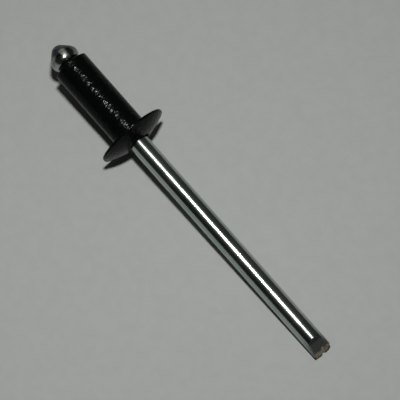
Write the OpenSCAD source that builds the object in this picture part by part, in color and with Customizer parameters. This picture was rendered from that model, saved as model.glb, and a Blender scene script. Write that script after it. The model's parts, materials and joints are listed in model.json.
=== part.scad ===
// Blind rivet with a domed head, unset, lying on its flange and on the cut tail of its mandrel.
// The rivet's axis runs along X and slopes down towards the tail.
// The origin is the centre of the flange's seat, the face that bears on the fastened sheet.
// Lengths are in millimetres and angles in degrees.

/* [Shank] */
// Outer diameter of the shank
shank_d = 4; // [3.6:0.1:5]
// Length of the shank, from the flange's seat to its blind end
shank_l = 10.2; // [6:0.05:20]
// Length of the tapered nose at the blind end
nose_l = 0.2; // [0.15:0.05:1]
// Diameter of the flat end face of the nose
nose_d = 3; // [2.8:0.05:3.1]
// Radius of the rounding between the shank and its nose
nose_round = 0.1; // [0.02:0.02:0.2]
// Radius of the rounding on the edge of the nose's end face
end_round = 0.1; // [0.02:0.02:0.2]

/* [Flange] */
// Diameter of the flange
flange_d = 8.1; // [7:0.1:10]
// Height of the flange's crown above its seat
flange_h = 1.28; // [0.9:0.02:1.6]
// Thickness of the flange at its rim
rim_h = 0.25; // [0.22:0.01:0.4]
// Radius of the rounding between the rim and the crown
rim_round = 0.1; // [0.05:0.01:0.12]
// Radius of the rounding on the seat's outer edge
seat_round = 0.05; // [0.02:0.01:0.08]
// Radius of the fillet between the shank and the seat
seat_fillet = 0.1; // [0.02:0.01:0.2]
// Diameter of the countersunk mouth in the crown, where the mandrel comes out
mouth_d = 2.85; // [2.6:0.05:3.2]
// Depth of the countersunk mouth
mouth_h = 0.3; // [0.1:0.05:0.5]

/* [Mandrel stem] */
// Diameter of the mandrel's stem
stem_d = 2.2; // [2:0.05:2.3]
// Length of the stem beyond the flange's seat, to the foot of the cut end
stem_l = 30.85; // [20:0.05:40]
// Radial clearance between the stem and the bore of the rivet's body
stem_gap = 0.05; // [0.02:0.01:0.08]
// Diameter left in the groove where the mandrel snaps
neck_d = 1.5; // [1:0.05:1.8]
// Width of the snap groove at the stem's surface
neck_w = 0.6; // [0.4:0.05:1]
// Distance from the shank's blind end to the middle of the snap groove
neck_from_end = 1.3; // [0.9:0.1:3]
// Width of the shallow ring crimped into the stem inside the flange's mouth, which holds it in the body
crimp_w = 0.56; // [0.3:0.02:0.7]
// Depth of the crimped ring
crimp_depth = 0.06; // [0.02:0.01:0.1]
// Distance from the edge of the mouth down to the crimped ring
crimp_below = 0.04; // [0:0.02:0.2]

/* [Mandrel head] */
// Largest diameter of the head, over its rounded shoulder
head_d = 3.3; // [3.1:0.02:3.5]
// Angle between the axis and the cone of the head's front
front_a = 43; // [36:1:50]
// Angle between the axis and the cone of the head's underside
under_a = 40; // [30:1:42]
// Radius of the rounded tip
tip_round = 1; // [0.6:0.05:1.1]
// Radius of the rounded shoulder
shoulder_round = 1; // [0.5:0.05:1.05]
// Width of the conical seat in the bore's blind end, on which the head bears
head_seat = 0.1; // [0.05:0.01:0.15]

/* [Cut tail] */
// Length of the two flats that the cutting jaws press into the tail
flat_l = 1.75; // [1.2:0.05:3]
// Length of the ramp at the start of each flat
ramp_l = 0.35; // [0.2:0.05:0.8]
// Depth of the flats at the foot of the ramp
flat_h = 0.36; // [0.2:0.01:0.45]
// Slope of the flats from the ramp to the end of the tail
flat_slope = 4; // [0:0.5:6]
// Turn of the upper flat about the axis
flat_turn = 7; // [0:1:30]
// Angle by which the cut end leans back, from its foot at the lower flat
end_slope = 17; // [0:1:25]
// Size of the bevel on the far corner of the tail's end
far_bevel = 0.4; // [0.1:0.05:0.6]
// Size of the bevel on the near corner of the tail's end
near_bevel = 0.2; // [0.1:0.05:0.4]
// Length of the nick that the jaws leave in the end of the upper flat
nick_l = 0.55; // [0.3:0.05:0.8]
// Width of the nick at the tail's end
nick_w = 1.2; // [0.6:0.1:1.6]
// Depth of the nick at the foot of the tail's end face
nick_foot = 0.2; // [0.05:0.05:0.3]
// Distance from the axis to the middle of the nick, towards the far side
nick_y = 0.05; // [-0.2:0.05:0.3]

/* [Hidden] */
$fn = 128;
// How far a cut reaches past the surface that it opens
past = 1;

shank_r = shank_d / 2;
nose_r = nose_d / 2;
flange_r = flange_d / 2;
mouth_r = mouth_d / 2;
stem_r = stem_d / 2;
neck_r = neck_d / 2;
bore_r = stem_r + stem_gap;
head_seat_r = bore_r + head_seat;

// The crown is part of a ball that meets the rim at the rim's full thickness
crown_r = (pow(flange_r, 2) + pow(flange_h - rim_h, 2)) / (2 * (flange_h - rim_h));
crown_x = flange_h - crown_r;
// Centre of the rounding that touches the rim and the crown, and the radius where the crown starts
rim_centre = [
    flange_r - rim_round,
    crown_x + sqrt(pow(crown_r - rim_round, 2) - pow(flange_r - rim_round, 2))
];
crown_edge_r = rim_centre[0] * crown_r / (crown_r - rim_round);
// Height of the crown at the edge of the mouth
mouth_x = crown_x + sqrt(pow(crown_r, 2) - pow(mouth_r, 2));

// Centre of the head's shoulder, whose rounding runs into a cone that ends at the edge of the head's seat
shoulder_r = head_d / 2 - shoulder_round;
shoulder_x = -shank_l - (shoulder_r + shoulder_round / cos(under_a) - head_seat_r) / tan(under_a);
// Centre of the head's tip, whose rounding runs into the cone of the front
tip_x = shoulder_x - (shoulder_r + (shoulder_round - tip_round) / cos(front_a)) / tan(front_a);
neck_x = -shank_l + neck_from_end;
crimp_x = mouth_x - crimp_below - crimp_w / 2;

// Outline that both jaws press, as [distance from the start of the flats, distance from the axis]
end_h = flat_h + (flat_l - ramp_l) * tan(flat_slope);
jaw_line = [[0, stem_r], [ramp_l, stem_r - flat_h], [flat_l, stem_r - end_h]];

// The slope at which the rivet lies on its rim and on a point x along its mandrel, r from the axis
function slope_on(x, r) =
    let (run = x - rim_centre[1], rise = rim_centre[0] - r)
    atan2(rise, run) + asin(rim_round / norm([run, rise]));
// The tail touches down on the lowest corner of its lower flat, mostly where that flat starts
lie_a = min([for (p = jaw_line) slope_on(stem_l - flat_l + p[0], p[1])]);

// Point of a circle about a centre in an outline, at an angle from the direction across the axis
function on_round(centre, r, angle) = centre + r * [cos(angle), sin(angle)];
// Unit vector from one point of an outline to another
function towards(from, to) = (to - from) / norm(to - from);

// The small area between corner b of an outline a-b-c and a rounding that touches both its sides
module corner_area(a, b, c, r) {
    side_1 = towards(b, a);
    side_2 = towards(b, c);
    half = acos(side_1 * side_2) / 2;
    difference() {
        polygon([b, b + side_1 * r / tan(half), b + side_2 * r / tan(half)]);
        translate(b + (side_1 + side_2) * r / sin(2 * half)) circle(r);
    }
}

// Turns an outline, drawn as [distance from the axis, place along the axis], about the rivet's axis
module turned() {
    rotate([0, 90, 0]) rotate_extrude() children();
}

// Outline of the shank without its bore, with the fillet under the flange
module shank_outline() {
    end_middle = [0, -shank_l];
    end_edge = [nose_r, -shank_l];
    corner = [shank_r, -shank_l + nose_l];
    root = [shank_r, 0];
    difference() {
        polygon([end_middle, end_edge, corner, root, [0, 0]]);
        corner_area(end_middle, end_edge, corner, end_round);
        corner_area(end_edge, corner, root, nose_round);
    }
    corner_area(corner, root, [flange_r, 0], seat_fillet);
}

// Outline of the flange without its bore
module flange_outline() {
    rim_foot = [flange_r, 0];
    rim_top = [flange_r, rim_centre[1]];
    difference() {
        square([flange_r, rim_centre[1]]);
        corner_area([0, 0], rim_foot, rim_top, seat_round);
    }
    translate(rim_centre) circle(rim_round);
    intersection() {
        translate([0, crown_x]) circle(crown_r);
        square([crown_edge_r, flange_h]);
    }
}

// Outline of the bore, with the head's seat at the blind end and the mouth in the crown
module bore_outline() {
    mouth_slope = (mouth_r - bore_r) / mouth_h;
    polygon([
        [0, -shank_l - past],
        [head_seat_r + past * tan(under_a), -shank_l - past],
        [bore_r, -shank_l + head_seat / tan(under_a)],
        [bore_r, mouth_x - mouth_h],
        [mouth_r + past * mouth_slope, mouth_x + past],
        [0, mouth_x + past]
    ]);
}

// Outline of a V-shaped ring in the stem, centred at x, down to r from the axis
module stem_ring(x, width, r) {
    polygon([[stem_r, x - width / 2], [r, x], [stem_r, x + width / 2]]);
}

// Outline of the mandrel, longer than it ends up once its tail is cut
module mandrel_outline() {
    tip = [0, tip_x];
    shoulder = [shoulder_r, shoulder_x];
    difference() {
        polygon([
            tip,
            on_round(tip, tip_round, -front_a),
            on_round(shoulder, shoulder_round, -front_a),
            on_round(shoulder, shoulder_round, under_a),
            [stem_r, -shank_l + (head_seat_r - stem_r) / tan(under_a)],
            [stem_r, stem_l + past / 2],
            [0, stem_l + past / 2]
        ]);
        stem_ring(neck_x, neck_w, neck_r);
        stem_ring(crimp_x, crimp_w, stem_r - crimp_depth);
    }
    intersection() {
        translate(shoulder) circle(shoulder_round);
        translate([0, shoulder_x - shoulder_round]) square(2 * shoulder_round);
    }
    intersection() {
        translate(tip) circle(tip_round);
        translate([0, tip_x - tip_round]) square(tip_round);
    }
}

// What one jaw takes off the top of the tail, turned about the axis
module jaw_cut(turn) {
    past_h = end_h + past * tan(flat_slope);
    rotate([turn, 0, 0]) translate([stem_l - flat_l, stem_r, 0]) rotate([90, 0, 0])
        linear_extrude(stem_d) polygon([
            each jaw_line,
            [flat_l + past, stem_r - past_h],
            [flat_l + past, stem_r + past],
            [0, stem_r + past]
        ]);
}

// What the shears take off the end, up from the end of the lower flat
module end_cut() {
    translate([stem_l, 0, end_h - stem_r]) rotate([0, -end_slope, 0])
        translate([0, -stem_d, -past]) cube([stem_d, 2 * stem_d, 2 * stem_d]);
}

// What a bevel takes off the tail's end, on the far side (1) or on the near side (-1)
module bevel_cut(size, side) {
    translate([stem_l, side * stem_r, 0]) rotate([0, 0, 45])
        cube([size * sqrt(2), size * sqrt(2), stem_d + past], center = true);
}

// The V-shaped nick that leans from the foot of the end face to the upper flat
module nick_cut() {
    height = 2 * (stem_r - end_h);
    lean = atan((nick_l - nick_foot) / height);
    translate([stem_l - nick_foot, nick_y, -height / 2]) rotate([0, -lean, 0])
        translate([0, 0, -past]) linear_extrude(stem_d + 2 * past)
            polygon([[0, 0], [2 * nick_l, nick_w], [2 * nick_l, -nick_w]]);
}

// Hollow body: shank and domed flange in one piece
module rivet_body() {
    color("#26282b") rotate([0, lie_a, 0]) turned() difference() {
        union() {
            shank_outline();
            flange_outline();
        }
        bore_outline();
    }
}

// Steel mandrel: head, snap groove, crimped ring, stem and cut tail in one piece
module mandrel() {
    color("#c3c7c6") rotate([0, lie_a, 0]) difference() {
        turned() mandrel_outline();
        jaw_cut(flat_turn);
        jaw_cut(180);
        end_cut();
        bevel_cut(far_bevel, 1);
        bevel_cut(near_bevel, -1);
        nick_cut();
    }
}

rivet_body();
mandrel();
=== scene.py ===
"""Blind rivet, unset: a black hollow body on a bright steel mandrel with a cut tail."""
import json
import math

import bpy
from mathutils import Matrix, Vector


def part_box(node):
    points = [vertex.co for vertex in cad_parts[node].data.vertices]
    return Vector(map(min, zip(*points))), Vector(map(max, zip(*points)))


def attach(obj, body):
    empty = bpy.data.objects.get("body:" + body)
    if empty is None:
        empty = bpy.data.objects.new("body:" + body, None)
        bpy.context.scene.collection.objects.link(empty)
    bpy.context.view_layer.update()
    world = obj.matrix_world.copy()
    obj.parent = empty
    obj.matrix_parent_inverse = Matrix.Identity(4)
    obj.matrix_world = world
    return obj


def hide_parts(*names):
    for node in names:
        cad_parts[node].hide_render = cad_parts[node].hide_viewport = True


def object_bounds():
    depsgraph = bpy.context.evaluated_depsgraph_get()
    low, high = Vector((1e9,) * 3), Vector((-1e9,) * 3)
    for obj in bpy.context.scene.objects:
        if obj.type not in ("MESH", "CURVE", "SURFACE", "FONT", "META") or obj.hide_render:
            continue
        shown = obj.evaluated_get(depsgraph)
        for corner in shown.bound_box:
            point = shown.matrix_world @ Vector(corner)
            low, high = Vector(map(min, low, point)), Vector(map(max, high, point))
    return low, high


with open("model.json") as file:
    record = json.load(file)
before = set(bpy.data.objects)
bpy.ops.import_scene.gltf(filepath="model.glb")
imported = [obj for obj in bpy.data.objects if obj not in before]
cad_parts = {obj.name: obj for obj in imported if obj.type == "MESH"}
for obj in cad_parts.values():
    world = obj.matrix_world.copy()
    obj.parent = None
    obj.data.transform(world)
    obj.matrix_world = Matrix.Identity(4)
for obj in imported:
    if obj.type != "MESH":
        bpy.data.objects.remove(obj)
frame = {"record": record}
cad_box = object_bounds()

MM = 0.001
MICRON = 0.000001

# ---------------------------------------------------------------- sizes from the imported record
mounts = {m["name"]: m for m in frame["record"]["mounts"]}
tail_way = Vector(mounts["stem"]["axis"])
lie_angle = math.atan2(-tail_way.z, tail_way.x)
shank_r = mounts["shank"]["dims"]["r_mm"] * MM
stem_r = mounts["stem"]["dims"]["r_mm"] * MM
stem_half = mounts["stem"]["dims"]["length_mm"] / 2 * MM
flange_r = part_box("rivet_body")[1].y
head_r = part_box("mandrel")[1].y
floor_z = cad_box[0].z

# ---------------------------------------------------------------- sizes of the hollow body
shank_l = 10.2 * MM
nose_l = 0.2 * MM
nose_r = 1.5 * MM
nose_round = 0.1 * MM
end_round = 0.1 * MM
flange_h = 1.28 * MM
rim_h = 0.25 * MM
rim_round = 0.1 * MM
seat_round = 0.05 * MM
seat_fillet = 0.1 * MM
bore_edge_round = 0.02 * MM
mouth_r = 1.425 * MM
mouth_h = 0.3 * MM
mouth_round = 0.06 * MM
bore_r = stem_r + 0.05 * MM
head_seat = 0.1 * MM
grain_depth = 6 * MICRON
grain_size = 0.22 * MM

# ---------------------------------------------------------------- sizes of the mandrel
front_angle = math.radians(43)
under_angle = math.radians(40)
tip_round = 1.0 * MM
shoulder_round = 1.0 * MM
neck_r = 0.75 * MM
neck_w = 0.6 * MM
neck_from_end = 1.3 * MM
neck_edge_round = 0.03 * MM
neck_foot_round = 0.1 * MM
crimp_w = 0.56 * MM
crimp_depth = 0.06 * MM
crimp_below = 0.04 * MM
crimp_edge_round = 0.02 * MM
crimp_foot_round = 0.05 * MM
under_head_round = 0.05 * MM
flat_l = 1.75 * MM
ramp_l = 0.35 * MM
flat_h = 0.36 * MM
flat_slope = math.radians(4)
end_h = flat_h + (flat_l - ramp_l) * math.tan(flat_slope)
flat_turn = math.radians(7)
end_slope = math.radians(17)
far_bevel = 0.4 * MM
near_bevel = 0.2 * MM
nick_l = 0.55 * MM
nick_w = 1.2 * MM
nick_foot = 0.2 * MM
nick_y = 0.05 * MM
tail_edge_round = 0.05 * MM
tear_depth = 0.03 * MM
tear_size = 0.25 * MM
lean_run = 1.1 * MM
torn_run = 0.8 * MM
# The record's stem ends where the sloping cut crosses the axis, above the foot of the cut,
# and the drawn end stays a little short of it, inside the solid's box
end_margin = 0.01 * MM
stem_end = (Vector(mounts["stem"]["pos_m"]).length + stem_half
            + (stem_r - end_h) * math.tan(end_slope)) - end_margin

# ---------------------------------------------------------------- places of the finishes
# The body: from the nose's edge, where it rubs, then along and out from the corner at the flange
rubbed_from, rubbed_to = 0.16 * MM, 0.02 * MM
corner_from, corner_to = 0.25 * MM, 0.1 * MM
corner_out_from, corner_out_to = 0.3 * MM, 0.1 * MM
# The stem, along the axis, where it turns darker towards its cut end
near_cut_from, near_cut_to = stem_end - 2.7 * MM, stem_end - 0.35 * MM
# The mandrel's head, along the axis: lighter towards the body as painted reflection, the band's
# painted shade deepening towards the front, and the darker front
head_from, head_to = -10.3 * MM, -10.45 * MM
bright_from, bright_to = -11.1 * MM, -10.7 * MM
deeper_shade_from, deeper_shade_to = -11.1 * MM, -11.4 * MM
front_from, front_to = -11.4 * MM, -12.0 * MM
# The mandrel's head, across the axis: a band of painted shade beside the highlight, a lighter
# stripe in its middle as a painted highlight, and painted shade on the far side
streak_y, streak_wander = 0.06 * MM, 0.3 * MM
band_shade_from, band_shade_to = 1.1 * MM, 0.7 * MM
highlight_stripe_from, highlight_stripe_to = 0.5 * MM, 0.15 * MM
far_shade_from, far_shade_to = 0.6 * MM, 1.1 * MM
# A rougher round spot on top of the mandrel's head, whose lighter colour is painted sheen
sheen_spot_x = -11.4 * MM
sheen_spot_from, sheen_spot_to = 0.52 * MM, 0.15 * MM

# ---------------------------------------------------------------- colours, the darker first of two
lacquer = (0.0012, 0.0014, 0.0014), (0.0024, 0.0027, 0.0027)
lacquer_scratch = (0.012, 0.012, 0.013)
lacquer_rubbed = (0.16, 0.13, 0.085)
plating = (0.38, 0.435, 0.405), (0.46, 0.51, 0.485)
plating_near_cut = (0.12, 0.133, 0.125)
forged = (0.2, 0.225, 0.21), (0.32, 0.345, 0.33)
# Painted reflection: the mandrel's head lighter towards the body
painted_reflection = (0.5, 0.53, 0.5)
# Painted shade: the band beside the highlight on the mandrel's head, darkest towards its front
painted_band_shade = (0.08, 0.086, 0.082), (0.16, 0.17, 0.16)
painted_deeper_shade = (0.03, 0.032, 0.03)
# Painted highlight: a lighter stripe along the top of the mandrel's head, where the highlight falls
painted_highlight_stripe = (0.45, 0.49, 0.44)
# Painted shade: the far side of the mandrel's head
painted_far_shade = (0.05, 0.055, 0.052)
forged_front = (0.008, 0.009, 0.011), (0.09, 0.1, 0.115)
# Painted sheen: a lighter spot beside the highlight on the mandrel's head
painted_sheen = (0.55, 0.57, 0.52)
flat_pressed = (0.052, 0.056, 0.05), (0.075, 0.08, 0.072)
end_sheared = (0.215, 0.165, 0.075), (0.4, 0.325, 0.17)
end_nicked = (0.46, 0.46, 0.46), (0.6, 0.59, 0.6)
card = (0.392, 0.408, 0.389), (0.408, 0.425, 0.405)
dim_room = (0.014, 0.014, 0.015), (0.045, 0.045, 0.043)
pale_strip = (0.33, 0.344, 0.327)
no_light = (0.0, 0.0, 0.0)

# ---------------------------------------------------------------- how finely the outlines are drawn
# Steps once round the axis, and the lengths of the steps along the outlines
segments = 192
rim_step, fine_step, tail_step, edge_step, head_step = (
    step * MM for step in (0.02, 0.03, 0.035, 0.04, 0.05))
shank_step, seat_step, crown_step, groove_step = (step * MM for step in (0.055, 0.08, 0.1, 0.1))
neck_step, stem_step, hidden_step = (step * MM for step in (0.2, 0.22, 0.5))
# The crown's arc leaves room for the mouth's rounding, and fine steps begin before the flats do
crown_stop = 0.1 * MM
tail_lead = 0.5 * MM

# ---------------------------------------------------------------- view and light
view_turn, view_rise = math.radians(41.145), math.radians(70.64)
view_distance, view_aside, view_lift = 250 * MM, 0.672 * MM, 1.495 * MM
sensor_width, lens = 36, 210.51
back = Vector((math.cos(view_turn) * math.cos(view_rise),
               -math.sin(view_turn) * math.cos(view_rise), math.sin(view_rise)))
right = (-back).cross(Vector((0, 0, 1))).normalized()
up = right.cross(-back)
target = Vector((10 * MM, 0, floor_z))
key_lift, key_side = math.radians(16.66), math.radians(-1.5)
lamp_distance, lamp_width, lamp_level = 150 * MM, 12 * MM, 0.8
key_way = (back * math.cos(key_lift) * math.cos(key_side) + up * math.sin(key_lift)
           + right * math.sin(key_side)).normalized()


# ---------------------------------------------------------------- outlines
def towards(a, b):
    """Unit vector from one point of an outline to another."""
    return (b - a).normalized()


def between(a, b, step):
    """Points on the straight line from a to b, without its ends, about a step apart."""
    count = max(1, math.ceil((b - a).length / step))
    return [a.lerp(b, i / count) for i in range(1, count)]


def arc(centre, radius, start, end, step):
    """Points on a circle from one angle to another, about a step apart."""
    count = max(3, math.ceil(abs(end - start) * radius / step))
    turn = [start + (end - start) * i / count for i in range(count + 1)]
    return [centre + radius * Vector((math.cos(a), math.sin(a))) for a in turn]


def corner_arc(a, b, c, radius, step):
    """Points that round the corner b of an outline a, b, c."""
    side_1, side_2 = towards(b, a), towards(b, c)
    half = math.acos(max(-1.0, min(1.0, side_1.dot(side_2)))) / 2
    centre = b + (side_1 + side_2) * radius / math.sin(2 * half)
    start = b + side_1 * radius / math.tan(half) - centre
    end = b + side_2 * radius / math.tan(half) - centre
    sweep = math.pi - 2 * half
    count = max(3, math.ceil(sweep * radius / step))
    turn = math.copysign(sweep, start.x * end.y - start.y * end.x)
    points = []
    for i in range(count + 1):
        cos, sin = math.cos(turn * i / count), math.sin(turn * i / count)
        turned = Vector((start.x * cos - start.y * sin, start.x * sin + start.y * cos))
        points.append(centre + turned)
    return points


def outline(corners):
    """A dense outline through corners, each (x, r, rounding, step of the line that follows it)."""
    places = [Vector(c[:2]) for c in corners]
    runs = []
    for i, (_, _, rounding, _) in enumerate(corners):
        if rounding and 0 < i < len(corners) - 1:
            runs.append(corner_arc(places[i - 1], places[i], places[i + 1], rounding, fine_step))
        else:
            runs.append([places[i]])
    points = list(runs[0])
    for before, after, corner in zip(runs, runs[1:], corners):
        points += between(before[-1], after[0], corner[3]) + after
    return points


def body_outline():
    """Outline of the hollow body, once round from the end of its bore and back, as (x, r)."""
    crown_r = (flange_r ** 2 + (flange_h - rim_h) ** 2) / (2 * (flange_h - rim_h))
    crown_x = flange_h - crown_r
    rim_x = crown_x + math.sqrt((crown_r - rim_round) ** 2 - (flange_r - rim_round) ** 2)
    mouth_x = crown_x + math.sqrt(crown_r ** 2 - mouth_r ** 2)
    crown_start = math.asin((flange_r - rim_round) / (crown_r - rim_round))
    rim = arc(Vector((rim_x, flange_r - rim_round)), rim_round, math.pi / 2, crown_start, rim_step)
    crown = arc(Vector((crown_x, 0)), crown_r, crown_start,
                math.asin((mouth_r + crown_stop) / crown_r), crown_step)
    seat_depth = head_seat / math.tan(under_angle)
    corners = [
        (-shank_l + seat_depth, bore_r, 0, fine_step),
        (-shank_l, bore_r + head_seat, bore_edge_round, fine_step),
        (-shank_l, nose_r, end_round, fine_step),
        (-shank_l + nose_l, shank_r, nose_round, shank_step),
        (0, shank_r, seat_fillet, seat_step),
        (0, flange_r, seat_round, edge_step),
    ]
    corners += [(p.x, p.y, 0, 1) for p in rim + crown[1:]]
    corners += [
        (mouth_x, mouth_r, mouth_round, edge_step),
        (mouth_x - mouth_h, bore_r, bore_edge_round, hidden_step),
        (-shank_l + seat_depth, bore_r, 0, 1),
    ]
    return outline(corners), mouth_x


def mandrel_outline(mouth_x):
    """Outline of the mandrel from the tip of its head to the middle of its tail, as (x, r)."""
    shoulder_r = head_r - shoulder_round
    seat_r = bore_r + head_seat
    shoulder_x = -shank_l - (shoulder_r + shoulder_round / math.cos(under_angle)
                             - seat_r) / math.tan(under_angle)
    tip_x = shoulder_x - (shoulder_r + (shoulder_round - tip_round)
                          / math.cos(front_angle)) / math.tan(front_angle)
    tip = arc(Vector((tip_x, 0)), tip_round, math.pi, math.pi / 2 + front_angle, head_step)
    shoulder = arc(Vector((shoulder_x, shoulder_r)), shoulder_round,
                   math.pi / 2 + front_angle, math.pi / 2 - under_angle, fine_step)
    neck_x = -shank_l + neck_from_end
    crimp_x = mouth_x - crimp_below - crimp_w / 2
    corners = [(p.x, max(p.y, 0.0), 0, head_step) for p in tip + shoulder]
    corners += [
        (-shank_l + (seat_r - stem_r) / math.tan(under_angle), stem_r, under_head_round, neck_step),
        (neck_x - neck_w / 2, stem_r, neck_edge_round, groove_step),
        (neck_x, neck_r, neck_foot_round, groove_step),
        (neck_x + neck_w / 2, stem_r, neck_edge_round, hidden_step),
        (crimp_x - crimp_w / 2, stem_r, crimp_edge_round, groove_step),
        (crimp_x, stem_r - crimp_depth, crimp_foot_round, groove_step),
        (crimp_x + crimp_w / 2, stem_r, crimp_edge_round, stem_step),
        (stem_end - flat_l - tail_lead, stem_r, 0, tail_step),
        (stem_end, stem_r, 0, tail_step),
        (stem_end, 0, 0, 1),
    ]
    return outline(corners)


# ---------------------------------------------------------------- node trees written as sums
class Field:
    """A value in a node tree, which sums are written with."""

    def __init__(self, tree, socket):
        self.tree, self.socket = tree, socket

    def __add__(self, other):
        return calc(self.tree, "ADD", self, other)

    def __radd__(self, other):
        return calc(self.tree, "ADD", other, self)

    def __sub__(self, other):
        return calc(self.tree, "SUBTRACT", self, other)

    def __rsub__(self, other):
        return calc(self.tree, "SUBTRACT", other, self)

    def __mul__(self, other):
        return calc(self.tree, "MULTIPLY", self, other)

    def __truediv__(self, other):
        return calc(self.tree, "DIVIDE", self, other)

    def __rtruediv__(self, other):
        return calc(self.tree, "DIVIDE", other, self)

    def __neg__(self):
        return calc(self.tree, "MULTIPLY", self, -1.0)


def plug(tree, socket, value):
    """Links a field or a socket to an input, or writes a plain value on it."""
    if isinstance(value, Field):
        tree.links.new(value.socket, socket)
    elif isinstance(value, bpy.types.NodeSocket):
        tree.links.new(value, socket)
    else:
        socket.default_value = value


def add(tree, kind, inputs=(), **settings):
    """A new node with its settings and inputs, which are given by name or by place."""
    node = tree.nodes.new(kind)
    for name, value in settings.items():
        setattr(node, name, value)
    for name, value in dict(inputs).items():
        plug(tree, node.inputs[name], value)
    return node


def calc(tree, operation, *values):
    """The result of a Math node."""
    node = add(tree, "ShaderNodeMath", enumerate(values), operation=operation)
    return Field(tree, node.outputs[0])


def ramp(tree, value, low, high, out_low=0.0, out_high=1.0):
    """Smoothly runs from out_low at low to out_high at high."""
    node = add(tree, "ShaderNodeMapRange", interpolation_type="SMOOTHSTEP")
    for name, v in (("Value", value), ("From Min", low), ("From Max", high),
                    ("To Min", out_low), ("To Max", out_high)):
        plug(tree, node.inputs[name], v)
    return Field(tree, node.outputs["Result"])


def split(tree, vector):
    """The three parts of a vector."""
    node = add(tree, "ShaderNodeSeparateXYZ", {0: vector})
    return [Field(tree, o) for o in node.outputs]


def join(tree, x, y, z):
    """A vector from its three parts."""
    return Field(tree, add(tree, "ShaderNodeCombineXYZ", {0: x, 1: y, 2: z}).outputs[0])


def noise(tree, vector, scale, detail=2.0, roughness=0.5, distortion=0.0):
    """A noise of about 0 to 1."""
    node = add(tree, "ShaderNodeTexNoise", {
        "Vector": vector, "Scale": scale, "Detail": detail,
        "Roughness": roughness, "Distortion": distortion})
    return Field(tree, node.outputs[0])


def interface(tree, inputs, outputs):
    """Names a group's sockets and returns its inputs as fields."""
    for name, kind, value in inputs:
        socket = tree.interface.new_socket(name, in_out="INPUT", socket_type=kind)
        if value is not None:
            socket.default_value = value
    for name, kind in outputs:
        tree.interface.new_socket(name, in_out="OUTPUT", socket_type=kind)
    entry = tree.nodes.new("NodeGroupInput")
    return {name: Field(tree, entry.outputs[name]) for name, _, _ in inputs}


def put_out(tree, **values):
    """Feeds a group's outputs, whose names are written with _ for a space."""
    exit_node = tree.nodes.new("NodeGroupOutput")
    for name, value in values.items():
        plug(tree, exit_node.inputs[name.replace("_", " ")], value)


# ---------------------------------------------------------------- shapes
def turning_tree():
    """Turns an outline, drawn as (x, r), about the X axis and gives its surface a fine grain."""
    tree = bpy.data.node_groups.new("turning", "GeometryNodeTree")
    tree.is_modifier = True
    given = interface(tree, [
        ("Outline", "NodeSocketGeometry", None),
        ("Segments", "NodeSocketInt", 96),
        ("Weld", "NodeSocketFloat", MICRON),
        ("Grain Depth", "NodeSocketFloat", 0.0),
        ("Grain Size", "NodeSocketFloat", 0.2 * MM),
        ("Seed", "NodeSocketFloat", 0.0),
        ("Material", "NodeSocketMaterial", None),
    ], [("Geometry", "NodeSocketGeometry")])
    size = add(tree, "GeometryNodeAttributeDomainSize", {0: given["Outline"]}, component="MESH")
    across = given["Segments"] + 1
    grid = add(tree, "GeometryNodeMeshGrid", {
        "Vertices X": size.outputs["Point Count"], "Vertices Y": across})
    index = Field(tree, add(tree, "GeometryNodeInputIndex").outputs[0])
    row = calc(tree, "FLOOR", (index + 0.5) / across)
    turn = (index - row * across) / given["Segments"] * math.tau
    place = add(tree, "GeometryNodeInputPosition").outputs[0]
    on_outline = add(tree, "GeometryNodeSampleIndex", {
        "Geometry": given["Outline"], "Value": place, "Index": row}, data_type="FLOAT_VECTOR")
    along, radius, _ = split(tree, on_outline.outputs[0])
    turned = join(tree, along, radius * calc(tree, "COSINE", turn),
                  -(radius * calc(tree, "SINE", turn)))
    placed = add(tree, "GeometryNodeSetPosition", {
        "Geometry": grid.outputs["Mesh"], "Position": turned})
    welded = add(tree, "GeometryNodeMergeByDistance", {
        "Geometry": placed.outputs[0], "Distance": given["Weld"]})
    # The grain only sinks below the surface, so that the turned size stays the largest
    where = add(tree, "ShaderNodeVectorMath", {0: place, 1: join(tree, given["Seed"], 0.0, 0.0)},
                operation="ADD").outputs[0]
    height = noise(tree, where, 1.0 / given["Grain Size"], detail=3.0, roughness=0.55)
    sink = add(tree, "ShaderNodeVectorMath", {
        0: add(tree, "GeometryNodeInputNormal").outputs[0],
        "Scale": -(height * given["Grain Depth"])}, operation="SCALE").outputs[0]
    grained = add(tree, "GeometryNodeSetPosition", {
        "Geometry": welded.outputs[0], "Offset": sink})
    smooth = add(tree, "GeometryNodeSetShadeSmooth", {0: grained.outputs[0]})
    real = add(tree, "GeometryNodeRealizeInstances", {0: smooth.outputs[0]})
    coated = add(tree, "GeometryNodeSetMaterial", {
        "Geometry": real.outputs[0], "Material": given["Material"]})
    put_out(tree, Geometry=coated.outputs[0])
    return tree


def side_cuts(tree, given, to_end, way_y, way_z):
    """How far a ray across the axis goes before it meets the rod, a flat or a bevel."""
    radius, soft = given["Rod Radius"], given["Edge Round"]
    run = given["Flat Length"] - to_end
    steep = given["Ramp Depth"] / given["Ramp Length"]
    gentle = (given["End Depth"] - given["Ramp Depth"]) / (
        given["Flat Length"] - given["Ramp Length"])
    flat_height = radius - calc(
        tree, "SMOOTH_MIN", run * steep,
        given["Ramp Depth"] + (run - given["Ramp Length"]) * gentle, soft)
    flat_turned = given["Flat Turn"]
    lean = way_z * calc(tree, "COSINE", flat_turned) - way_y * calc(tree, "SINE", flat_turned)
    limit = radius
    for height, facing in (
            (flat_height, lean), (flat_height, -way_z),
            (radius - given["Far Bevel"] + to_end, way_y),
            (radius - given["Near Bevel"] + to_end, -way_y)):
        # A ray that hardly faces a cut meets it far outside the rod
        met = height / calc(tree, "MAXIMUM", facing, 0.05)
        limit = calc(tree, "SMOOTH_MIN", limit, met, soft)
    return limit


def nick_depth(tree, given, low, y, z):
    """Depth of the nick in the end face, which leans from its foot to the upper flat."""
    rise = (z - low) / (low * -2.0)
    apex = given["Nick Foot"] + (given["Nick Length"] - given["Nick Foot"]) * rise
    aside = calc(tree, "ABSOLUTE", y - given["Nick Offset"])
    return apex - aside * given["Nick Length"] * 2.0 / given["Nick Width"]


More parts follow.
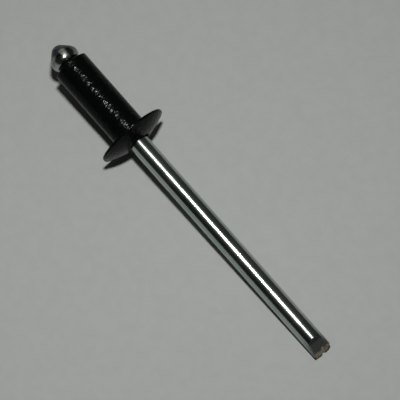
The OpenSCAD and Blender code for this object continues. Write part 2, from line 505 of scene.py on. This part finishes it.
def tail_tree():
    """Presses two flats, cuts two bevels and a nick into the end of a turned rod along X."""
    tree = bpy.data.node_groups.new("tail_cut", "GeometryNodeTree")
    tree.is_modifier = True
    length = "NodeSocketFloat"
    given = interface(tree, [
        ("Rod", "NodeSocketGeometry", None),
        ("Rod Radius", length, stem_r), ("Rod End", length, stem_end),
        ("Flat Length", length, flat_l), ("Ramp Length", length, ramp_l),
        ("Ramp Depth", length, flat_h), ("End Depth", length, end_h),
        ("Flat Turn", length, flat_turn), ("End Slope", length, end_slope),
        ("Lean Run", length, lean_run), ("Torn Run", length, torn_run),
        ("Far Bevel", length, far_bevel), ("Near Bevel", length, near_bevel),
        ("Nick Length", length, nick_l), ("Nick Width", length, nick_w),
        ("Nick Foot", length, nick_foot), ("Nick Offset", length, nick_y),
        ("Edge Round", length, tail_edge_round),
        ("Tear Depth", length, tear_depth), ("Tear Size", length, tear_size),
        ("Material", "NodeSocketMaterial", None),
    ], [("Geometry", "NodeSocketGeometry")])
    radius, end, soft = given["Rod Radius"], given["Rod End"], given["Edge Round"]
    x, y, z = split(tree, add(tree, "GeometryNodeInputPosition").outputs[0])
    reach = calc(tree, "SQRT", y * y + z * z)
    # The cut leans back from the foot of the end face, and the rod is drawn back to it
    low = -(radius - given["End Depth"])
    above = calc(tree, "MINIMUM", calc(tree, "MAXIMUM", z, low), -low) - low
    lean_back = above * calc(tree, "TANGENT", given["End Slope"])
    x = x - lean_back * ramp(tree, end - x, given["Lean Run"], 0.0)
    # The sides shrink to the flats and the bevels
    to_end = end - x
    limit = side_cuts(tree, given, to_end, y / reach, z / reach)
    shrink = limit / radius
    cut_y, cut_z = y * shrink, z * shrink
    # The end face is torn by the shears and has the nick in it
    nick = nick_depth(tree, given, low, cut_y, cut_z)
    tear = noise(tree, join(tree, x * 0.3, cut_y, cut_z * 0.45), 1.0 / given["Tear Size"],
                 detail=4.0, roughness=0.6)
    sunk = calc(tree, "SMOOTH_MAX", nick, lean_back + tear * given["Tear Depth"], soft)
    cut_x = calc(tree, "SMOOTH_MIN", x, end - sunk, soft * 0.5)
    # Where each cut lies is marked on the rod before its surface moves
    mark_from, mark_to = 0.01 * MM, 0.04 * MM
    pressed = ramp(tree, radius - limit, mark_from, mark_to)
    near_end = ramp(tree, to_end, given["Torn Run"] + 0.1 * MM, given["Torn Run"])
    torn = ramp(tree, x - cut_x + (radius - reach), mark_from, mark_to) * near_end
    nicked = ramp(tree, nick - lean_back, mark_from * 2, mark_from * 5) * torn
    marked = given["Rod"]
    for name, mask in (("pressed", pressed), ("sheared", torn), ("nicked", nicked)):
        marked = add(tree, "GeometryNodeStoreNamedAttribute", {
            "Geometry": marked, "Name": name, "Value": mask},
            data_type="FLOAT", domain="POINT").outputs[0]
    cut = add(tree, "GeometryNodeSetPosition", {
        "Geometry": marked, "Position": join(tree, cut_x, cut_y, cut_z)})
    real = add(tree, "GeometryNodeRealizeInstances", {0: cut.outputs[0]})
    coated = add(tree, "GeometryNodeSetMaterial", {
        "Geometry": real.outputs[0], "Material": given["Material"]})
    put_out(tree, Geometry=coated.outputs[0])
    return tree


def add_tree(piece, tree, **values):
    """A Geometry Nodes modifier with its inputs set, whose names are written with _ for a space."""
    modifier = piece.modifiers.new(tree.name, "NODES")
    modifier.node_group = tree
    for item in tree.interface.items_tree:
        name = item.name.replace(" ", "_")
        if item.item_type == "SOCKET" and item.in_out == "INPUT" and name in values:
            modifier[item.identifier] = values[name]


def finished(piece, name, lay):
    """The piece as a plain mesh at the origin, laid as it rests, with its modifiers done."""
    bpy.context.view_layer.update()
    evaluated = piece.evaluated_get(bpy.context.evaluated_depsgraph_get())
    mesh = bpy.data.meshes.new_from_object(evaluated)
    piece.modifiers.clear()
    mesh.name = name
    mesh.transform(lay)
    mesh.update()
    piece.data = mesh
    return piece


def outline_object(name, points):
    """An object that holds an outline as a chain of edges."""
    mesh = bpy.data.meshes.new(name + "_outline")
    edges = [(i, i + 1) for i in range(len(points) - 1)]
    mesh.from_pydata([(p.x, p.y, 0) for p in points], edges, [])
    piece = bpy.data.objects.new(name, mesh)
    bpy.context.scene.collection.objects.link(piece)
    return piece


# ---------------------------------------------------------------- finishes
def surface_marks():
    """Speckle, blotches and fine scratches over a surface, for any finish."""
    tree = bpy.data.node_groups.new("surface_marks", "ShaderNodeTree")
    given = interface(tree, [
        ("Vector", "NodeSocketVector", None),
        ("Speckle Scale", "NodeSocketFloat", 8000.0),
        ("Blotch Scale", "NodeSocketFloat", 600.0),
        ("Scratch Scale", "NodeSocketFloat", 3000.0),
    ], [(name, "NodeSocketFloat") for name in ("Speckle", "Blotch", "Scratch")])
    vector = given["Vector"]
    speckle = noise(tree, vector, given["Speckle Scale"], detail=3.0, roughness=0.6)
    blotch = noise(tree, vector, given["Blotch Scale"], detail=5.0, roughness=0.55, distortion=0.4)
    lines = add(tree, "ShaderNodeTexWave", {
        "Vector": vector, "Scale": given["Scratch Scale"], "Distortion": 14.0,
        "Detail": 3.0, "Detail Scale": 0.6}, wave_type="BANDS", bands_direction="DIAGONAL")
    scratch = ramp(tree, Field(tree, lines.outputs["Fac"]), 0.93, 1.0)
    rare = ramp(tree, blotch, 0.5, 0.62)
    put_out(tree, Speckle=ramp(tree, speckle, 0.3, 0.7), Blotch=ramp(tree, blotch, 0.3, 0.7),
            Scratch=scratch * rare)
    return tree


def marks_at(tree, marks, vector, **scales):
    """Speckle, blotches and scratches as fields, with each one's scale given under its name."""
    node = add(tree, "ShaderNodeGroup", {"Vector": vector}, node_tree=marks)
    for name, scale in scales.items():
        node.inputs[name + " Scale"].default_value = scale
    return [Field(tree, o) for o in node.outputs]


def stored(tree, name):
    """A mask that the shape's node tree left on the mesh."""
    return Field(tree, add(tree, "ShaderNodeAttribute", attribute_name=name).outputs["Fac"])


def new_material(name):
    """A material with its tree and its shader."""
    material = bpy.data.materials.new(name)
    material.use_nodes = True
    tree = material.node_tree
    return material, tree, tree.nodes["Principled BSDF"]


def along_rivet(tree, stretch=(1, 1, 1)):
    """Object coordinates turned so that X runs along the rivet's axis."""
    own = add(tree, "ShaderNodeTexCoord").outputs["Object"]
    level = add(tree, "ShaderNodeMapping", {
        "Vector": own, "Rotation": (0, -lie_angle, 0)}, vector_type="POINT")
    if stretch == (1, 1, 1):
        return level.outputs[0]
    return add(tree, "ShaderNodeMapping", {
        "Vector": level.outputs[0], "Scale": stretch}, vector_type="POINT").outputs[0]


def blend(tree, share, first, second):
    """Mixes two colours, each a field, a socket or (red, green, blue)."""
    node = add(tree, "ShaderNodeMix", data_type="RGBA")
    plug(tree, node.inputs["Factor"], share)
    for name, colour in ((6, first), (7, second)):
        plug(tree, node.inputs[name], (*colour, 1) if isinstance(colour, tuple) else colour)
    return node.outputs[2]


def bump(tree, height, depth, normal=None):
    """A normal bent by a height, over another bump where one is given."""
    node = add(tree, "ShaderNodeBump", {"Height": height, "Distance": depth})
    if normal is not None:
        plug(tree, node.inputs["Normal"], normal)
    return node.outputs[0]


def black_finish(marks):
    """Black lacquer, semi-gloss, with a fine pebbled skin and bare metal where its edges rub."""
    material, tree, skin = new_material("black_lacquer")
    place = along_rivet(tree)
    x, y, z = split(tree, place)
    reach = calc(tree, "SQRT", y * y + z * z)
    speckle, blotch, scratch = marks_at(
        tree, marks, place, Speckle=9000.0, Blotch=700.0, Scratch=900.0)
    # Rubbed through at the nose's edge, duller in the corner under the flange
    from_edge = calc(tree, "ABSOLUTE", x + (shank_l - nose_l / 2))
    nose_edge = ramp(tree, from_edge, rubbed_from, rubbed_to)
    rubbed = nose_edge * ramp(tree, blotch, 0.72, 0.95)
    corner = ramp(tree, calc(tree, "ABSOLUTE", x), corner_from, corner_to) * ramp(
        tree, reach, shank_r + corner_out_from, shank_r + corner_out_to)
    patches = noise(tree, place, 1500.0, detail=2.0, roughness=0.5)
    colour = blend(tree, speckle, *lacquer)
    colour = blend(tree, scratch * 0.3, colour, lacquer_scratch)
    colour = blend(tree, rubbed * 0.7, colour, lacquer_rubbed)
    plug(tree, skin.inputs["Base Color"], colour)
    plug(tree, skin.inputs["Metallic"], rubbed * 0.6)
    plug(tree, skin.inputs["Roughness"],
         0.15 + (ramp(tree, patches, 0.4, 0.65) * 0.08 + speckle * 0.03 + corner * 0.5))
    skin.inputs["IOR"].default_value = 1.16
    pebble = noise(tree, along_rivet(tree, (1.6, 1, 1)), 2500.0, detail=1.0, roughness=0.4)
    fine = noise(tree, place, 9000.0, detail=2.0, roughness=0.6)
    normal = bump(tree, pebble, 64 * MICRON)
    plug(tree, skin.inputs["Normal"], bump(tree, fine, 1 * MICRON, normal))
    return material


def head_colour(tree, y, speckle, blotch, dents, bright, deeper_shade, front, sheen_spot):
    """A band of painted shade beside the highlight, with a lighter stripe in it as a painted
    highlight, painted shade on the far side, lighter towards the body as painted reflection, a
    lighter spot as painted sheen, and a darker front.
    """
    aside = calc(tree, "ABSOLUTE", y + (blotch - 0.5) * streak_wander - streak_y)
    colour = blend(tree, blotch, *forged)
    # Lighter towards the body: painted reflection
    colour = blend(tree, bright * 0.6, colour, painted_reflection)
    # A band of painted shade beside the highlight, deeper towards the front
    band_shade = blend(tree, deeper_shade, blend(tree, speckle, *painted_band_shade), painted_deeper_shade)
    colour = blend(tree, ramp(tree, aside, band_shade_from, band_shade_to), colour, band_shade)
    # A lighter stripe where the highlight falls: painted highlight
    colour = blend(tree, ramp(tree, aside, highlight_stripe_from, highlight_stripe_to), colour, painted_highlight_stripe)
    # Painted shade on the far side of the head
    colour = blend(tree, ramp(tree, y, far_shade_from, far_shade_to) * 0.45, colour, painted_far_shade)
    soot = blend(tree, ramp(tree, dents, 0.35, 0.65), *forged_front)
    colour = blend(tree, front, colour, soot)
    # A lighter spot beside the highlight: painted sheen
    return blend(tree, sheen_spot, colour, painted_sheen)


def bright_steel(marks):
    """Drawn wire, thinly plated: marks along the wire, bare brownish metal where the shears cut."""
    material, tree, skin = new_material("plated_steel")
    place = along_rivet(tree)
    x, y, _ = split(tree, place)
    drawn = along_rivet(tree, (0.02, 1, 1))
    speckle, blotch, _ = marks_at(tree, marks, place, Speckle=6000.0, Blotch=500.0)
    pressed, sheared, nicked = (stored(tree, name) for name in ("pressed", "sheared", "nicked"))
    lines = noise(tree, drawn, 14000.0, detail=3.0, roughness=0.7)
    broad = noise(tree, drawn, 3500.0, detail=2.0, roughness=0.5)
    dents = noise(tree, place, 1500.0, detail=2.0, roughness=0.5)
    # Along the axis: darker towards the cut end, the head, lighter towards the body as painted
    # reflection, painted shade deepening towards the front, and the darker front
    near_cut, head, bright, deeper_shade, front = (ramp(tree, x, low, high) for low, high in (
        (near_cut_from, near_cut_to), (head_from, head_to), (bright_from, bright_to),
        (deeper_shade_from, deeper_shade_to), (front_from, front_to)))
    # A rougher spot whose lighter colour is painted sheen
    from_spot = x - sheen_spot_x
    sheen_spot = ramp(tree, calc(tree, "SQRT", from_spot * from_spot + y * y), sheen_spot_from, sheen_spot_to)
    colour = blend(tree, near_cut, blend(tree, blotch, *plating), plating_near_cut)
    # The head's colour carries painted reflection, painted shade, a painted highlight and painted
    # sheen
    colour = blend(tree, head, colour, head_colour(
        tree, y, speckle, blotch, dents, bright, deeper_shade, front, sheen_spot))
    for mask, pair in ((pressed, flat_pressed), (sheared, end_sheared), (nicked, end_nicked)):
        colour = blend(tree, mask, colour, blend(tree, speckle, *pair))
    plug(tree, skin.inputs["Base Color"], colour)
    plug(tree, skin.inputs["Metallic"], 1.0 - sheared * 0.7)
    rough = 0.155 + (lines * 0.02 + blotch * 0.03)
    rough = rough + head * 0.06 + front * 0.04 + sheen_spot * 0.24 + pressed * 0.65 + sheared * 0.2
    plug(tree, skin.inputs["Roughness"], calc(tree, "MINIMUM", rough, 0.85))
    normal = bump(tree, dents * head, 22 * MICRON)
    normal = bump(tree, speckle * (sheared + pressed), 12 * MICRON, normal)
    normal = bump(tree, broad, 0.4 * MICRON, normal)
    plug(tree, skin.inputs["Normal"], bump(tree, lines, 0.1 * MICRON, normal))
    return material


def seen_or_mirrored(tree):
    """1 for what is seen, mirrored or looked through, and 0 for what only lights something else."""
    path = add(tree, "ShaderNodeLightPath").outputs
    seen = calc(tree, "MAXIMUM", path["Is Camera Ray"], path["Is Glossy Ray"])
    return calc(tree, "MAXIMUM", seen, path["Is Transmission Ray"])


def floor_finish():
    """Matt pale grey card, which stays pale where it runs out from under the lamp."""
    material, tree, skin = new_material("pale_card")
    place = add(tree, "ShaderNodeTexCoord").outputs["Object"]
    tone = noise(tree, place, 900.0, detail=4.0, roughness=0.6)
    plug(tree, skin.inputs["Base Color"], blend(tree, ramp(tree, tone, 0.3, 0.7), *card))
    skin.inputs["Roughness"].default_value = 0.9
    skin.inputs["Specular IOR Level"].default_value = 0.1
    # The lamp's light falls off sideways, and the card glows by what is lacking, though not close
    # to the rivet, where the shadow lies
    x, y, _ = split(tree, place)
    x = x - target.x
    spread = (x * x + y * y) / (lamp_distance * lamp_distance) + 1.0
    unlit = 1.0 - 1.0 / (spread * spread)
    far = ramp(tree, spread, 1.04, 1.3) * unlit * seen_or_mirrored(tree)
    plug(tree, skin.inputs["Emission Color"], blend(tree, far, no_light, pale_strip))
    skin.inputs["Emission Strength"].default_value = 1.0
    return material


def room():
    """A dim room, lighter on the far side, with a low pale strip that rises past the head."""
    world = bpy.data.worlds.new("room")
    world.use_nodes = True
    tree = world.node_tree
    way = add(tree, "ShaderNodeTexCoord").outputs["Generated"]
    to_side, _, height = split(tree, way)
    far_side = add(tree, "ShaderNodeVectorMath", {0: way, 1: tuple(up)}, operation="DOT_PRODUCT")
    share = ramp(tree, Field(tree, far_side.outputs["Value"]), -0.4, 0.6)
    dim = blend(tree, share, *dim_room)
    # The strip ends a little above the horizon, and higher where it passes the head
    wall = ramp(tree, to_side, -0.75, -0.95)
    strip = ramp(tree, height, wall * 0.3 + 0.07, wall * 0.2 + 0.035) * seen_or_mirrored(tree)
    plug(tree, tree.nodes["Background"].inputs["Color"], blend(tree, strip, dim, pale_strip))
    return world


# ---------------------------------------------------------------- the pieces
marks = surface_marks()
turning = turning_tree()
lay = Matrix.Rotation(lie_angle, 4, "Y")

body_points, mouth_x = body_outline()
body = outline_object("rivet_body", body_points)
add_tree(body, turning, Segments=segments, Grain_Depth=grain_depth, Grain_Size=grain_size,
         Seed=0.0, Material=black_finish(marks))
body = finished(body, "rivet_body_shell", lay)

mandrel = outline_object("mandrel", mandrel_outline(mouth_x))
steel = bright_steel(marks)
add_tree(mandrel, turning, Segments=segments, Material=steel)
add_tree(mandrel, tail_tree(), Material=steel)
mandrel = finished(mandrel, "mandrel_pin", lay)

body.name, mandrel.name = "hollow_body", "steel_mandrel"
for piece, node, slot in ((body, "rivet_body", "black_finish"),
                          (mandrel, "mandrel", "bright_steel")):
    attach(piece, "root")
    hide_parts(node)

# ---------------------------------------------------------------- floor, light and camera
floor_mesh = bpy.data.meshes.new("floor")
floor_half = 1.5
floor_corners = [(x * floor_half, y * floor_half, floor_z)
                 for x, y in ((-1, -1), (1, -1), (1, 1), (-1, 1))]
floor_mesh.from_pydata(floor_corners, [], [(0, 1, 2, 3)])
floor_mesh.materials.append(floor_finish())
floor = bpy.data.objects.new("floor", floor_mesh)
bpy.context.scene.collection.objects.link(floor)

camera_data = bpy.data.cameras.new("camera")
camera_data.sensor_width = sensor_width
camera_data.lens = lens
camera_data.clip_start, camera_data.clip_end = 0.01, 10
camera = bpy.data.objects.new("camera", camera_data)
camera.location = target + back * view_distance + right * view_aside + up * view_lift
camera.rotation_mode = "QUATERNION"
camera.rotation_quaternion = (-back).to_track_quat("-Z", "Y")
bpy.context.scene.collection.objects.link(camera)
bpy.context.scene.camera = camera


def lamp(name, way, distance, width, level):
    """A round lamp that gives a level of 1 where a white card under it would show as white."""
    data = bpy.data.lights.new(name, "AREA")
    data.shape = "DISK"
    data.size = width
    data.energy = level * math.pi ** 2 * distance ** 2
    piece = bpy.data.objects.new(name, data)
    piece.location = target + way * distance
    piece.rotation_mode = "QUATERNION"
    piece.rotation_quaternion = (-way).to_track_quat("-Z", "Y")
    bpy.context.scene.collection.objects.link(piece)


lamp("key_lamp", key_way, lamp_distance, lamp_width, lamp_level)
bpy.context.scene.world = room()
bpy.context.scene.view_settings.view_transform = "Standard"
